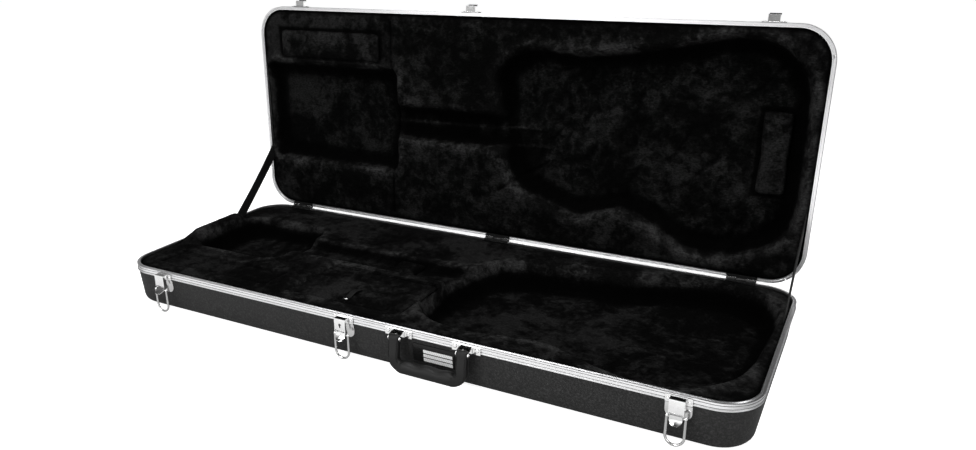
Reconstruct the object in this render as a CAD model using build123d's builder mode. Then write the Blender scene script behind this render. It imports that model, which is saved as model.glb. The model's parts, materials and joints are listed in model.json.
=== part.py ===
"""Hard-shell case for an electric guitar, standing on its base with the lid open.

X runs along the case, the headstock end at -X. The latches and the handle are on the -Y side and the
hinges on the +Y side. The origin is the centre of the base's flat bottom. Millimetres.

Every piece of the lid is drawn closed, above the parting plane, and turned open as it is saved.
"""

import os
from math import cos, radians, sin, tan

from build123d import *

# ---- driving dimensions -------------------------------------------------------------------------
CASE_L = 1120  # outside length over the aluminium frames
CASE_W = 424  # outside width over the aluminium frames
BASE_H = 74  # height of the parting plane
LID_H = 60  # depth of the lid
LID_GAP = 0.4  # between the two frames when closed
OPEN_DEG = 91.4  # how far the lid stands open on its straps
CORNER_R = 58  # plan corner of the frames
WALL = 3  # moulded shell
DRAFT = 5  # degrees the shell walls lean in
SHELL_EDGE_R = 14  # rounding between shell wall and floor
FRAME_H = 11  # outer face of each frame
FRAME_W = 5.8  # each frame's lip, seen from above
SHEET = 1.4  # frame wall thickness
FOAM = 0.5  # gap between frame and liner

HINGE_X = (-476, 2, 464)
HINGE_W = 50
HINGE_OUT = 2.25  # hinge axis outside the frame's face
KNUCKLE_R = 2.9
PIN_R = 1.25

LATCHES = {"left": -457, "centre": -64, "right": 463}
HANDLE_X = 96
HANDLE_SPAN = 116  # between the two brackets
ID_PLATE = (73, 31, 1.5)

STRAP_X = 551
STRAP_W = 25
STRAP_T = 1.6
STRAP_BASE = (91, BASE_H)  # y, z where a strap leaves the base lining
STRAP_LID_Z = 186  # height at which it meets the open lid

# compartment for accessories, beside the neck
BOX_X = (-212, 12)
BOX_Y = (-170, -36)
BOX_FLOOR = 14
BOARD = 5  # thickness of its lid
LEDGE = 6

# ---- worked-out places --------------------------------------------------------------------------
FRONT = -CASE_W / 2
BACK = CASE_W / 2
LID_Z = BASE_H + LID_GAP
LID_TOP = LID_Z + LID_H
HINGE_Y = BACK + HINGE_OUT
HINGE_Z = BASE_H + LID_GAP / 2
HINGE_AXIS = Axis((0, HINGE_Y, HINGE_Z), (1, 0, 0))
SLOT_IN = SHEET + 0.2  # the shell wall stands in the frame's slot
SLOT_OUT = SLOT_IN + WALL + 0.2
LINER_IN = FRAME_W + FOAM
LINER_TOP = BASE_H - 3
LINER_FLOOR = WALL + 0.5
LID_LINER_Z = LID_Z + 3.2
WALL_BREAK = BASE_H - 14  # the wall is upright above this height and leans in below it
LID_BREAK = LID_Z + 14
FRONT_WALL = Plane(
    origin=(0, FRONT + SLOT_IN, WALL_BREAK),
    x_dir=(1, 0, 0),
    z_dir=(0, -cos(radians(DRAFT)), -sin(radians(DRAFT))),
)

os.makedirs("parts", exist_ok=True)


def save(part, name, lid=False):
    """Name a piece and write it, a lid piece turned open about the hinge."""
    if lid:
        part = part.rotate(HINGE_AXIS, -OPEN_DEG)
    part.label = name
    export_step(part, f"parts/{name}.step")


def span_box(x, y, z, mode=Mode.ADD):
    """A box from its low and high ends along each axis."""
    centre = ((x[0] + x[1]) / 2, (y[0] + y[1]) / 2, (z[0] + z[1]) / 2)
    with Locations(centre):
        Box(x[1] - x[0], y[1] - y[0], z[1] - z[0], mode=mode)


def plan(inset, mode=Mode.ADD):
    """The case's rounded plan, so far inside the frames' outer face."""
    RectangleRounded(CASE_L - 2 * inset, CASE_W - 2 * inset, CORNER_R - inset, mode=mode)


def ring(low, high, outer, inner, mode=Mode.ADD):
    """A band of the plan between two insets and two heights."""
    with BuildSketch(Plane.XY.offset(low)) as band:
        plan(outer)
        plan(inner, Mode.SUBTRACT)
    extrude(band.sketch, amount=high - low, mode=mode)


def tub(inset, rim, bend, floor, edge_r, mode=Mode.ADD):
    """A tub-shaped solid: upright from rim to bend, leaning in from bend to floor, with a round edge."""
    way = 1 if floor > rim else -1
    with BuildPart(mode=Mode.PRIVATE) as body:
        with BuildSketch(Plane.XY.offset(rim)):
            plan(inset)
        extrude(amount=bend - rim)
        with BuildSketch(Plane.XY.offset(bend)):
            plan(inset)
        extrude(amount=abs(floor - bend), dir=(0, 0, way), taper=DRAFT)
        ends = body.faces().sort_by(Axis.Z)
        fillet((ends[-1] if way > 0 else ends[0]).edges(), edge_r)
    add(body.part, mode=mode)


def prism(points, x, mode=Mode.ADD):
    """A flat-sided bar along X with the given (out, up) corners: out from the front, up from z = 0."""
    with BuildSketch(Plane.YZ.offset(x[0])) as section:
        with BuildLine():
            Polyline([(FRONT - out, up) for out, up in points], close=True)
        make_face()
    extrude(section.sketch, amount=x[1] - x[0], mode=mode)


def rod(out, up, x, radius, mode=Mode.ADD):
    """A round bar along X at a place (out, up) in front of the case."""
    with BuildSketch(Plane.YZ.offset(x[0])) as section:
        with Locations((FRONT - out, up)):
            Circle(radius)
    extrude(section.sketch, amount=x[1] - x[0], mode=mode)


def rivets(places, plane, radius, height):
    """Domed rivet heads on a plane, one separate solid each."""
    with BuildPart() as heads:
        with BuildSketch(plane):
            with Locations(places):
                Circle(radius)
        extrude(amount=height)
        tops = heads.faces().sort_by(Axis(plane.origin, plane.z_dir))[-len(places) :]
        fillet(tops.edges(), height * 0.7)
    return heads.part


# ---- shells and aluminium frames ----------------------------------------------------------------
with BuildPart() as base_shell:
    tub(SLOT_IN, BASE_H - SHEET - 0.4, WALL_BREAK, 0, SHELL_EDGE_R)
    tub(SLOT_IN + WALL, BASE_H, WALL_BREAK, WALL, SHELL_EDGE_R - WALL, Mode.SUBTRACT)
save(base_shell.part, "base_shell")

with BuildPart() as lid_shell:
    tub(SLOT_IN, LID_Z + 3.2, LID_BREAK, LID_TOP, SHELL_EDGE_R)
    tub(SLOT_IN + WALL, LID_Z, LID_BREAK, LID_TOP - WALL, SHELL_EDGE_R - WALL, Mode.SUBTRACT)
save(lid_shell.part, "lid_shell", lid=True)

LINE = 0.8  # depth of the drawn lines on the frames' outer faces


def frame_face(low, edge):
    """The outer leg of a frame, with two drawn lines and a bead along its free edge."""
    ring(low, low + FRAME_H, 0, SHEET)
    for line in (3.2, 8.0):
        ring(low + line - 0.55, low + line + 0.55, 0, LINE, Mode.SUBTRACT)
    ring(edge, edge + 1.4, -0.5, 0.2)


def hinge_notches(z):
    """Take the frame out where the hinges sit."""
    for x in HINGE_X:
        half = HINGE_W / 2 + 0.4
        span_box((x - half, x + half), (BACK - 9, BACK + 2), z, Mode.SUBTRACT)


with BuildPart() as base_frame:
    frame_face(BASE_H - FRAME_H, BASE_H - FRAME_H)
    ring(BASE_H - SHEET, BASE_H, 0, FRAME_W)
    ring(BASE_H - 8, BASE_H, SLOT_OUT, FRAME_W)
    ring(BASE_H, BASE_H + 1, 4, FRAME_W)
    hinge_notches((BASE_H - 15, BASE_H + 5))
save(base_frame.part, "base_frame")

with BuildPart() as lid_frame:
    frame_face(LID_Z, LID_Z + FRAME_H - 1.4)
    ring(LID_Z, LID_Z + 2.8, 0, 3.6)
    ring(LID_Z + 1.4, LID_Z + 2.8, 3.4, FRAME_W)
    ring(LID_Z + 1.4, LID_Z + 8, SLOT_OUT, FRAME_W)
    hinge_notches((LID_Z - 5, LID_Z + 15))
save(lid_frame.part, "lid_frame", lid=True)

# ---- lining ------------------------------------------------------------------------------------
BODY_FLOOR = 26
BODY_OUTLINE = [
    (24, -112),
    (66, -150),
    (160, -158),
    (262, -147),
    (322, -172),
    (400, -189),
    (462, -181),
    (508, -134),
    (530, -40),
    (536, 60),
    (520, 150),
    (462, 190),
    (372, 186),
    (290, 150),
    (210, 140),
    (130, 128),
    (70, 104),
    (40, 60),
    (24, 20),
    (16, -50),
]
NECK_X = (-345, 40)
NECK_Y = (-11, 51)
NECK_FLOOR = 59
HEAD_X = (-517, -330)
HEAD_Y = (-66, 104)
HEAD_FLOOR = 40
STRAP_SLOT_Y = (52, 118)
STRAP_SLOT_Z = 50


def strap_slots(y, z):
    """Pockets at both ends of a lining for the strap ends and their anchor plates."""
    for side in (-1, 1):
        edges = sorted((side * (STRAP_X - 3), side * (STRAP_X + 6)))
        span_box(edges, y, z, Mode.SUBTRACT)


with BuildPart() as base_liner:
    tub(LINER_IN, LINER_TOP, WALL_BREAK, LINER_FLOOR, SHELL_EDGE_R - WALL)
    with BuildSketch(Plane.XY.offset(LINER_TOP)):
        with BuildLine():
            Spline(BODY_OUTLINE, periodic=True)
        make_face()
    extrude(amount=BODY_FLOOR - LINER_TOP, mode=Mode.SUBTRACT)
    span_box(NECK_X, NECK_Y, (NECK_FLOOR, LINER_TOP), Mode.SUBTRACT)
    with BuildSketch(Plane.XY.offset(LINER_TOP)):
        with Locations((sum(HEAD_X) / 2, sum(HEAD_Y) / 2)):
            RectangleRounded(HEAD_X[1] - HEAD_X[0], HEAD_Y[1] - HEAD_Y[0], 30)
    extrude(amount=HEAD_FLOOR - LINER_TOP, mode=Mode.SUBTRACT)
    span_box(BOX_X, BOX_Y, (LINER_TOP - BOARD, LINER_TOP), Mode.SUBTRACT)
    span_box(
        (BOX_X[0] + LEDGE, BOX_X[1] - LEDGE),
        (BOX_Y[0] + LEDGE, BOX_Y[1] - LEDGE),
        (BOX_FLOOR, LINER_TOP),
        Mode.SUBTRACT,
    )
    strap_slots(STRAP_SLOT_Y, (STRAP_SLOT_Z, LINER_TOP))
save(base_liner.part, "base_liner")

PAD_X = (-546, -519)
PAD_Y = (-66, 78)
PAD_TOP = 93
with BuildPart() as end_pad:
    span_box(PAD_X, PAD_Y, (LINER_TOP, PAD_TOP))
    fillet(end_pad.faces().sort_by(Axis.Z)[-1].edges(), 11)
save(end_pad.part, "end_pad")

with BuildPart() as neck_cradle:
    span_box((-120, -60), (NECK_Y[0] + 1, NECK_Y[1] - 1), (NECK_FLOOR, NECK_FLOOR + 9))
    with BuildSketch(Plane.YZ.offset(-121)):
        with Locations((sum(NECK_Y) / 2, NECK_FLOOR + 34)):
            Circle(29)
    extrude(amount=62, mode=Mode.SUBTRACT)
save(neck_cradle.part, "neck_cradle")

LID_BODY_CEILING = LID_LINER_Z + 40
LID_BODY_OUTLINE = [
    (5, -120),
    (36, -142),
    (140, -142),
    (222, -148),
    (320, -165),
    (400, -181),
    (472, -176),
    (514, -139),
    (530, -60),
    (531, 60),
    (513, 130),
    (438, 172),
    (353, 169),
    (303, 141),
    (232, 121),
    (160, 141),
    (91, 121),
    (40, 98),
    (12, 40),
    (2, -50),
]
LID_NECK = ((-240, 60), (-24, 29))
LID_HEAD = ((-547, -234), (-94, 99))
LID_HEAD_CEILING = LID_LINER_Z + 32
LID_NECK_CEILING = LID_LINER_Z + 26
LID_STRAP_Y = (80, 140)

with BuildPart() as lid_liner:
    tub(LINER_IN, LID_LINER_Z, LID_BREAK, LID_TOP - WALL - 0.5, SHELL_EDGE_R - WALL)
    with BuildSketch(Plane.XY.offset(LID_LINER_Z)):
        with BuildLine():
            Spline(LID_BODY_OUTLINE, periodic=True)
        make_face()
    extrude(amount=LID_BODY_CEILING - LID_LINER_Z, mode=Mode.SUBTRACT)
    span_box(*LID_NECK, (LID_LINER_Z, LID_NECK_CEILING), Mode.SUBTRACT)
    span_box(*LID_HEAD, (LID_LINER_Z, LID_HEAD_CEILING), Mode.SUBTRACT)
    strap_slots(LID_STRAP_Y, (LID_LINER_Z, LID_LINER_Z + 22))
save(lid_liner.part, "lid_liner", lid=True)

for name, pad_x, pad_y, backing, thick in (
    ("lid_pad_front", (-508, -262), (-168, -110), LID_LINER_Z, 2.6),
    ("lid_pad_end", (461, 510), (-72, 70), LID_BODY_CEILING, 9),
):
    with BuildPart() as lid_pad:
        span_box(pad_x, pad_y, (backing - thick, backing))
    save(lid_pad.part, name, lid=True)

# ---- accessory compartment -----------------------------------------------------------------------
BOARD_GAP = 1
TAB_X = -100
TAB_Y = (-160, -112)
with BuildPart() as compartment_lid:
    span_box(
        (BOX_X[0] + BOARD_GAP, BOX_X[1] - BOARD_GAP),
        (BOX_Y[0] + BOARD_GAP, BOX_Y[1] - BOARD_GAP),
        (LINER_TOP - BOARD, LINER_TOP),
    )
    fillet(compartment_lid.edges().filter_by(Axis.Z), 6)
save(compartment_lid.part, "compartment_lid")

with BuildPart() as pull_tab:
    span_box((TAB_X - 6, TAB_X + 6), TAB_Y, (LINER_TOP + 0.2, LINER_TOP + 1.2))
save(pull_tab.part, "pull_tab")

with BuildPart() as tab_rivet:
    with BuildSketch(Plane.XY.offset(LINER_TOP + 1.2)):
        with Locations((TAB_X, TAB_Y[0] + 6)):
            Circle(4)
    extrude(amount=1.5)
    fillet(tab_rivet.faces().sort_by(Axis.Z)[-1].edges(), 1)
save(tab_rivet.part, "tab_rivet")

with BuildPart() as compartment_hinge:
    span_box(
        (BOX_X[0] + 8, BOX_X[1] - 8),
        (BOX_Y[1] - 6, BOX_Y[1] + 5),
        (LINER_TOP + 0.2, LINER_TOP + 0.8),
    )
save(compartment_hinge.part, "compartment_hinge")

# ---- hinges ------------------------------------------------------------------------------------
KNUCKLE_X = (-25, -9, 9, 25)  # base knuckle, gap for the lid's knuckle, base knuckle
SIDE_PLAY = 0.4
BACK_PLATE = (BACK - 1.5, BACK)
LEAF_TOP = BASE_H - SHEET


def knuckle(x, low_side, mode=Mode.ADD, radius=KNUCKLE_R):
    """A hinge knuckle, with the web that ties it to its leaf."""
    with BuildSketch(Plane.YZ.offset(x[0])) as section:
        with Locations((HINGE_Y, HINGE_Z)):
            Circle(radius)
    extrude(section.sketch, amount=x[1] - x[0], mode=mode)
    if mode == Mode.ADD:
        z = (HINGE_Z - KNUCKLE_R, HINGE_Z) if low_side else (HINGE_Z, HINGE_Z + KNUCKLE_R)
        span_box(x, (BACK - 0.5, HINGE_Y), z)


def pin_bore(x):
    """The bore for the hinge pin, with running clearance."""
    with BuildSketch(Plane.YZ.offset(x - HINGE_W)) as section:
        with Locations((HINGE_Y, HINGE_Z)):
            Circle(PIN_R + 0.05)
    extrude(section.sketch, amount=2 * HINGE_W, mode=Mode.SUBTRACT)


for side, x in zip(("left", "centre", "right"), HINGE_X):
    ends = (x - HINGE_W / 2, x + HINGE_W / 2)
    outer_knuckles = ((x + KNUCKLE_X[0], x + KNUCKLE_X[1]), (x + KNUCKLE_X[2], x + KNUCKLE_X[3]))
    mid_knuckle = (x + KNUCKLE_X[1] + SIDE_PLAY, x + KNUCKLE_X[2] - SIDE_PLAY)

    with BuildPart() as hinge_base_leaf:
        span_box(ends, BACK_PLATE, (BASE_H - 24, BASE_H))
        span_box(ends, (BACK - FRAME_W, BACK), (LEAF_TOP, BASE_H))
        knuckle((x + KNUCKLE_X[1], x + KNUCKLE_X[2]), True, Mode.SUBTRACT, KNUCKLE_R + 0.4)
        for span in outer_knuckles:
            knuckle(span, True)
        pin_bore(x)
    save(hinge_base_leaf.part, f"hinge_base_leaf_{side}")

    with BuildPart() as hinge_lid_leaf:
        span_box(ends, BACK_PLATE, (LID_Z, LID_Z + 24))
        span_box(ends, (BACK - FRAME_W, BACK), (LID_Z, LID_Z + SHEET))
        for span in outer_knuckles:
            wide = (span[0] - SIDE_PLAY, span[1] + SIDE_PLAY)
            knuckle(wide, False, Mode.SUBTRACT, KNUCKLE_R + 0.4)
        knuckle(mid_knuckle, False)
        pin_bore(x)
    save(hinge_lid_leaf.part, f"hinge_lid_leaf_{side}", lid=True)

with BuildPart() as hinge_pins:
    for x in HINGE_X:
        with BuildSketch(Plane.YZ.offset(x - HINGE_W / 2)):
            with Locations((HINGE_Y, HINGE_Z)):
                Circle(PIN_R)
        extrude(amount=HINGE_W)
save(hinge_pins.part, "hinge_pins")

LEAF_RIVETS = [x + dx for x in HINGE_X for dx in (-18, 0, 18)]
BACK_FACE = Plane(origin=(0, BACK, 0), x_dir=(-1, 0, 0), z_dir=(0, 1, 0))
with BuildPart() as hinge_rivets_base:
    add(rivets([(-x, BASE_H - 18) for x in LEAF_RIVETS], BACK_FACE, 2.4, 1))
save(hinge_rivets_base.part, "hinge_rivets_base")

with BuildPart() as hinge_rivets_lid:
    add(rivets([(-x, LID_Z + 18) for x in LEAF_RIVETS], BACK_FACE, 2.4, 1))
save(hinge_rivets_lid.part, "hinge_rivets_lid", lid=True)

# ---- straps that hold the lid ---------------------------------------------------------------------
STRAP_TUCK = 16  # length hidden in each lining
STRAP_RUN = Vector(HINGE_Y - STRAP_BASE[0], STRAP_LID_Z - STRAP_BASE[1])

for side, way in (("left", -1), ("right", 1)):
    along = STRAP_RUN.normalized()
    across = Vector(-along.Y, along.X) * (STRAP_W / 2)
    low = Vector(*STRAP_BASE) - along * STRAP_TUCK
    high = Vector(*STRAP_BASE) + STRAP_RUN + along * STRAP_TUCK
    corners = [(p.X, p.Y) for p in (low + across, low - across, high - across, high + across)]
    with BuildPart() as strap:
        with BuildSketch(Plane.YZ.offset(way * STRAP_X - STRAP_T / 2)):
            with BuildLine():
                Polyline(corners, close=True)
            make_face()
        extrude(amount=STRAP_T)
    save(strap.part, f"strap_{side}")

ANCHOR_Y = (58, 84)
with BuildPart() as strap_anchors_base:
    for way in (-1, 1):
        edges = sorted((way * (STRAP_X - 2.2), way * (STRAP_X - 1)))
        span_box(edges, ANCHOR_Y, (STRAP_SLOT_Z + 1, STRAP_SLOT_Z + 16))
save(strap_anchors_base.part, "strap_anchors_base")

with BuildPart() as strap_anchors_lid:
    for way in (-1, 1):
        edges = sorted((way * (STRAP_X - 2.2), way * (STRAP_X - 1)))
        span_box(edges, (88, 114), (LID_LINER_Z + 5, LID_LINER_Z + 20))
save(strap_anchors_lid.part, "strap_anchors_lid", lid=True)

# ---- draw latches -------------------------------------------------------------------------------
# Places are (out, up): out from the front frame's face, up from the parting plane of the base.
LATCH_W = 36
LATCH_DROP = 38
PRESSED = 1.2  # thickness of the pressed steel
HOUSE_W = 20.6
HOUSE_OUT = 12.5
HOUSE_Z = (-21.5, -2)
LEVER_PIVOT = (9, -23.5)
BAIL_PIVOT = (7.5, -29.3)
LEVER_HALF = 8.7
LEVER_EYE_R = 2  # clears the housing as the lever lifts
LEVER_REST = {"left": 35, "centre": 15, "right": 0}  # degrees that each lever stands lifted
TAB_TIP = (14.5, -40)
WIRE_R = 1.9
BAIL_HALF = 12.5
BAIL_LEN = 42
KEY_UP = -12
BEAD = 0.6  # pressed plates stand this far off the frame, over its bead
wall_out = SLOT_IN + tan(radians(DRAFT)) * (LATCH_DROP - BASE_H + WALL_BREAK) - 0.1


def up(height):
    """A height above the base's parting plane."""
    return BASE_H + height


def shaped(points):
    """Corners given as (out, up from the parting plane), turned into (out, z)."""
    return [(out, up(height)) for out, height in points]


def hull_profile(circles, x, mode=Mode.ADD):
    """A bar along X whose section is the hull of some circles given as (out, up, radius)."""
    with BuildSketch(Plane.YZ.offset(x[0])) as section:
        for out, height, radius in circles:
            with Locations((FRONT - out, up(height))):
                Circle(radius)
        make_hull()
    extrude(section.sketch, amount=x[1] - x[0], mode=mode)


def lifted(place, angle):
    """A place given as (out, up), turned about the lever's pivot by a lift in degrees."""
    out, height = place[0] - LEVER_PIVOT[0], place[1] - LEVER_PIVOT[1]
    cosine, sine = cos(radians(angle)), sin(radians(angle))
    return LEVER_PIVOT[0] + out * cosine - height * sine, LEVER_PIVOT[1] + out * sine + height * cosine


def sides(x, half, thickness):
    """The two spans of a pair of side walls about x."""
    return ((x - half, x - half + thickness), (x + half - thickness, x + half))


PLATE_PROFILE = shaped(
    [
        (BEAD, -2),
        (BEAD, -12),
        (-SLOT_IN + 0.1, -14.2),
        (-wall_out, -LATCH_DROP),
        (-wall_out + PRESSED, -LATCH_DROP),
        (-SLOT_IN + 0.1 + PRESSED, -14.6),
        (BEAD + PRESSED, -12.4),
        (BEAD + PRESSED, -2),
    ]
)

for side, x in LATCHES.items():
    wide = (x - LATCH_W / 2, x + LATCH_W / 2)
    with BuildPart() as latch_plate:
        prism(PLATE_PROFILE, wide)
        with BuildSketch(Plane.XZ.offset(-FRONT - 20)):
            with Locations((x, up(-LATCH_DROP / 2))):
                outline = Rectangle(LATCH_W, LATCH_DROP)
            fillet(outline.vertices().sort_by(Axis.Y)[:2], 13)
        extrude(amount=60, mode=Mode.INTERSECT)
        for span in sides(x, HOUSE_W / 2, PRESSED):
            prism(shaped([(BEAD, -2), (HOUSE_OUT, -2), (HOUSE_OUT, HOUSE_Z[0]), (BEAD, HOUSE_Z[0])]), span)
            hull_profile([(*LEVER_PIVOT, 3.6), (LEVER_PIVOT[0], HOUSE_Z[0] + 4, 3.5)], span)
        inner = (x - HOUSE_W / 2, x + HOUSE_W / 2)
        prism(
            shaped(
                [(BEAD, -2), (HOUSE_OUT, -2), (HOUSE_OUT, HOUSE_Z[0]), (HOUSE_OUT - PRESSED, HOUSE_Z[0])]
                + [(HOUSE_OUT - PRESSED, -2 - PRESSED), (BEAD, -2 - PRESSED)]
            ),
            inner,
        )
        rod(LEVER_PIVOT[0], up(LEVER_PIVOT[1]), wide, PIN_R + 0.02, Mode.SUBTRACT)
        if side == "centre":
            with BuildSketch(Plane.XZ.offset(-FRONT + HOUSE_OUT - 3)):
                with Locations((x, up(KEY_UP))):
                    Circle(2.2)
                with Locations((x, up(KEY_UP - 3))):
                    Rectangle(2.4, 5)
            extrude(amount=5, mode=Mode.SUBTRACT)
    save(latch_plate.part, f"latch_plate_{side}")

    with BuildPart() as latch_lever:
        for span in sides(x, LEVER_HALF, PRESSED):
            hull_profile([(*LEVER_PIVOT, LEVER_EYE_R), (*BAIL_PIVOT, 2.8)], span)
        with BuildSketch(Plane.YZ.offset(x - LEVER_HALF)):
            with BuildLine():
                Line((FRONT - 9.9, up(-26)), (FRONT - 9.9, up(-31)))
                TangentArc((FRONT - 9.9, up(-31)), (FRONT - TAB_TIP[0], up(TAB_TIP[1])), tangent=(0, -1))
            trace(line_width=PRESSED)
        extrude(amount=2 * LEVER_HALF)
        with BuildSketch(Plane.XZ.offset(-FRONT - 5)):
            with Locations((x, up(-26))):
                Rectangle(2 * LEVER_HALF + 1, 10)
            with Locations((x, up(TAB_TIP[1] + LEVER_HALF - 0.2))):
                Circle(LEVER_HALF + 0.1)
        extrude(amount=40, mode=Mode.INTERSECT)
        bore = (x - LEVER_HALF - 1, x + LEVER_HALF + 1)
        rod(LEVER_PIVOT[0], up(LEVER_PIVOT[1]), bore, PIN_R + 0.06, Mode.SUBTRACT)
        rod(BAIL_PIVOT[0], up(BAIL_PIVOT[1]), bore, WIRE_R + 0.06, Mode.SUBTRACT)
    lever_axis = Axis((x, FRONT - LEVER_PIVOT[0], up(LEVER_PIVOT[1])), (1, 0, 0))
    save(latch_lever.part.rotate(lever_axis, -LEVER_REST[side]), f"latch_lever_{side}")

    with BuildPart() as latch_bail:
        bail_out, bail_up = lifted(BAIL_PIVOT, LEVER_REST[side])
        y = FRONT - bail_out
        top = up(bail_up)
        turn = top - BAIL_LEN + BAIL_HALF
        with BuildLine():
            left_leg = Line((x - BAIL_HALF, y, top), (x - BAIL_HALF, y, turn))
            ThreePointArc(left_leg @ 1, (x, y, turn - BAIL_HALF), (x + BAIL_HALF, y, turn))
            Line((x + BAIL_HALF, y, turn), (x + BAIL_HALF, y, top))
        with BuildSketch(Plane(left_leg @ 0, z_dir=(0, 0, -1))):
            Circle(WIRE_R)
        sweep()
        for end in (-1, 1):
            span = sorted((x + end * 7.2, x + end * (BAIL_HALF + 0.4)))
            rod(bail_out, top, span, WIRE_R)
            with Locations((x + end * BAIL_HALF, y, top)):
                Sphere(WIRE_R + 0.35)
    save(latch_bail.part, f"latch_bail_{side}")

with BuildPart() as latch_pins:
    for x in LATCHES.values():
        rod(LEVER_PIVOT[0], up(LEVER_PIVOT[1]), (x - HOUSE_W / 2, x + HOUSE_W / 2), PIN_R)
save(latch_pins.part, "latch_pins")

FRAME_FACE = Plane.XZ.offset(-FRONT + BEAD + PRESSED)
LATCH_RIVETS = [(x + dx, up(-8)) for x in LATCHES.values() for dx in (-14.2, 14.2)]
with BuildPart() as latch_rivets:
    add(rivets(LATCH_RIVETS, FRAME_FACE, 2.2, 0.9))
save(latch_rivets.part, "latch_rivets")

LOCK_R = 4
LOCK_OUT = (1.8, HOUSE_OUT - PRESSED - 0.2)
LOCK_X = LATCHES["centre"]
with BuildPart() as lock_barrel:
    with BuildSketch(Plane.XZ.offset(-FRONT + LOCK_OUT[0])):
        with Locations((LOCK_X, up(KEY_UP))):
            Circle(LOCK_R + 1.6)
            Circle(LOCK_R + 0.06, mode=Mode.SUBTRACT)
    extrude(amount=LOCK_OUT[1] - LOCK_OUT[0])
save(lock_barrel.part, "lock_barrel")

with BuildPart() as lock_plug:
    with BuildSketch(Plane.XZ.offset(-FRONT + LOCK_OUT[0])):
        with Locations((LOCK_X, up(KEY_UP))):
            Circle(LOCK_R)
    extrude(amount=LOCK_OUT[1] - LOCK_OUT[0])
    with BuildSketch(Plane.XZ.offset(-FRONT + LOCK_OUT[1] - 5)):
        with Locations((LOCK_X, up(KEY_UP))):
            Rectangle(1.6, 5.6)
    extrude(amount=6, mode=Mode.SUBTRACT)
save(lock_plug.part, "lock_plug")

# ---- catches on the lid -------------------------------------------------------------------------
CATCH_W = 36
HOOK_HALF = 9
HOOK_Z = 4.6  # above the lid's parting plane


def lid_up(points):
    """Corners given as (out, up from the lid's parting plane), turned into (out, z)."""
    return [(out, LID_Z + height) for out, height in points]


for side, x in LATCHES.items():
    with BuildPart() as lid_catch:
        prism(
            lid_up([(BEAD, 1), (BEAD + PRESSED, 1), (BEAD + PRESSED, 12.6), (BEAD, 12.6)]),
            (x - CATCH_W / 2, x + CATCH_W / 2),
        )
        hook = [
            (BEAD, HOOK_Z),
            (HOUSE_OUT, HOOK_Z),
            (HOUSE_OUT, 14),
            (HOUSE_OUT + 1.5, 16),
            (HOUSE_OUT + 0.6, 16.6),
            (HOUSE_OUT - PRESSED, 14.4),
            (HOUSE_OUT - PRESSED, HOOK_Z + PRESSED),
            (BEAD, HOOK_Z + PRESSED),
        ]
        prism(lid_up(hook), (x - HOOK_HALF, x + HOOK_HALF))
    save(lid_catch.part, f"lid_catch_{side}", lid=True)

CATCH_RIVETS = [(x + dx, LID_Z + 7) for x in LATCHES.values() for dx in (-14, 14)]
with BuildPart() as catch_rivets:
    add(rivets(CATCH_RIVETS, FRAME_FACE, 2.2, 0.9))
save(catch_rivets.part, "catch_rivets", lid=True)

# ---- handle -------------------------------------------------------------------------------------
BRACKETS = {"left": HANDLE_X - HANDLE_SPAN / 2, "right": HANDLE_X + HANDLE_SPAN / 2}
BRACKET_W = 47
PIVOT = (13, -10.5)
ARM_HALF = 8.7
EAR_HALF = ARM_HALF + 0.5 + PRESSED
GRIP = (16, -55.3)
GRIP_R = 10
HANDLE_PIN_R = 1.75

for side, x in BRACKETS.items():
    wide = (x - BRACKET_W / 2, x + BRACKET_W / 2)
    with BuildPart() as handle_bracket:
        prism(shaped([(BEAD, -1.6), (BEAD + PRESSED, -1.6), (BEAD + PRESSED, -13), (BEAD, -13)]), wide)
        for span in sides(x, EAR_HALF, PRESSED):
            hull_profile([(*PIVOT, 3.6), (3.4, -6, 2.6), (3.4, -10.4, 2.6)], span)
        rod(PIVOT[0], up(PIVOT[1]), wide, HANDLE_PIN_R + 0.02, Mode.SUBTRACT)
    save(handle_bracket.part, f"handle_bracket_{side}")

with BuildPart() as handle_pins:
    for x in BRACKETS.values():
        rod(PIVOT[0], up(PIVOT[1]), (x - EAR_HALF - 1, x + EAR_HALF + 1), HANDLE_PIN_R)
save(handle_pins.part, "handle_pins")

BRACKET_RIVETS = [(x + dx, up(-6)) for x in BRACKETS.values() for dx in (-18.2, 18.2)]
with BuildPart() as handle_rivets:
    add(rivets(BRACKET_RIVETS, FRAME_FACE, 3.2, 1.4))
save(handle_rivets.part, "handle_rivets")

with BuildPart() as handle:
    with BuildSketch(Plane.XZ.offset(-FRONT + 1)):
        low = up(GRIP[1]) - GRIP_R
        high = up(PIVOT[1]) + 7
        arm = HANDLE_SPAN / 2
        with Locations((HANDLE_X, (low + high) / 2)):
            outside = Rectangle(2 * (arm + ARM_HALF), high - low)
        fillet(outside.vertices().sort_by(Axis.Y)[:2], 24)
        floor = up(GRIP[1]) + GRIP_R
        with Locations((HANDLE_X, (floor + high) / 2 + 10)):
            RectangleRounded(2 * (arm - ARM_HALF), high - floor + 20, 8, mode=Mode.SUBTRACT)
    extrude(amount=34)
    neck = (14.5, -40, 6.4)
    with BuildSketch(Plane.YZ.offset(HANDLE_X - 80)):
        for out, height, radius in ((*PIVOT, 6), neck):
            with Locations((FRONT - out, up(height))):
                Circle(radius)
        make_hull()
        with Locations((FRONT - GRIP[0], up(GRIP[1]))):
            Circle(GRIP_R)
        with BuildLine():
            Polyline(
                [(FRONT - 8.1, up(-40)), (FRONT - 20.9, up(-40)), (FRONT - 25.4, up(-51.8))]
                + [(FRONT - 6.6, up(-51.8))],
                close=True,
            )
        make_face()
    extrude(amount=160, mode=Mode.INTERSECT)
    rod(PIVOT[0], up(PIVOT[1]), (HANDLE_X - 80, HANDLE_X + 80), HANDLE_PIN_R + 0.06, Mode.SUBTRACT)
save(handle.part, "handle")

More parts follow.
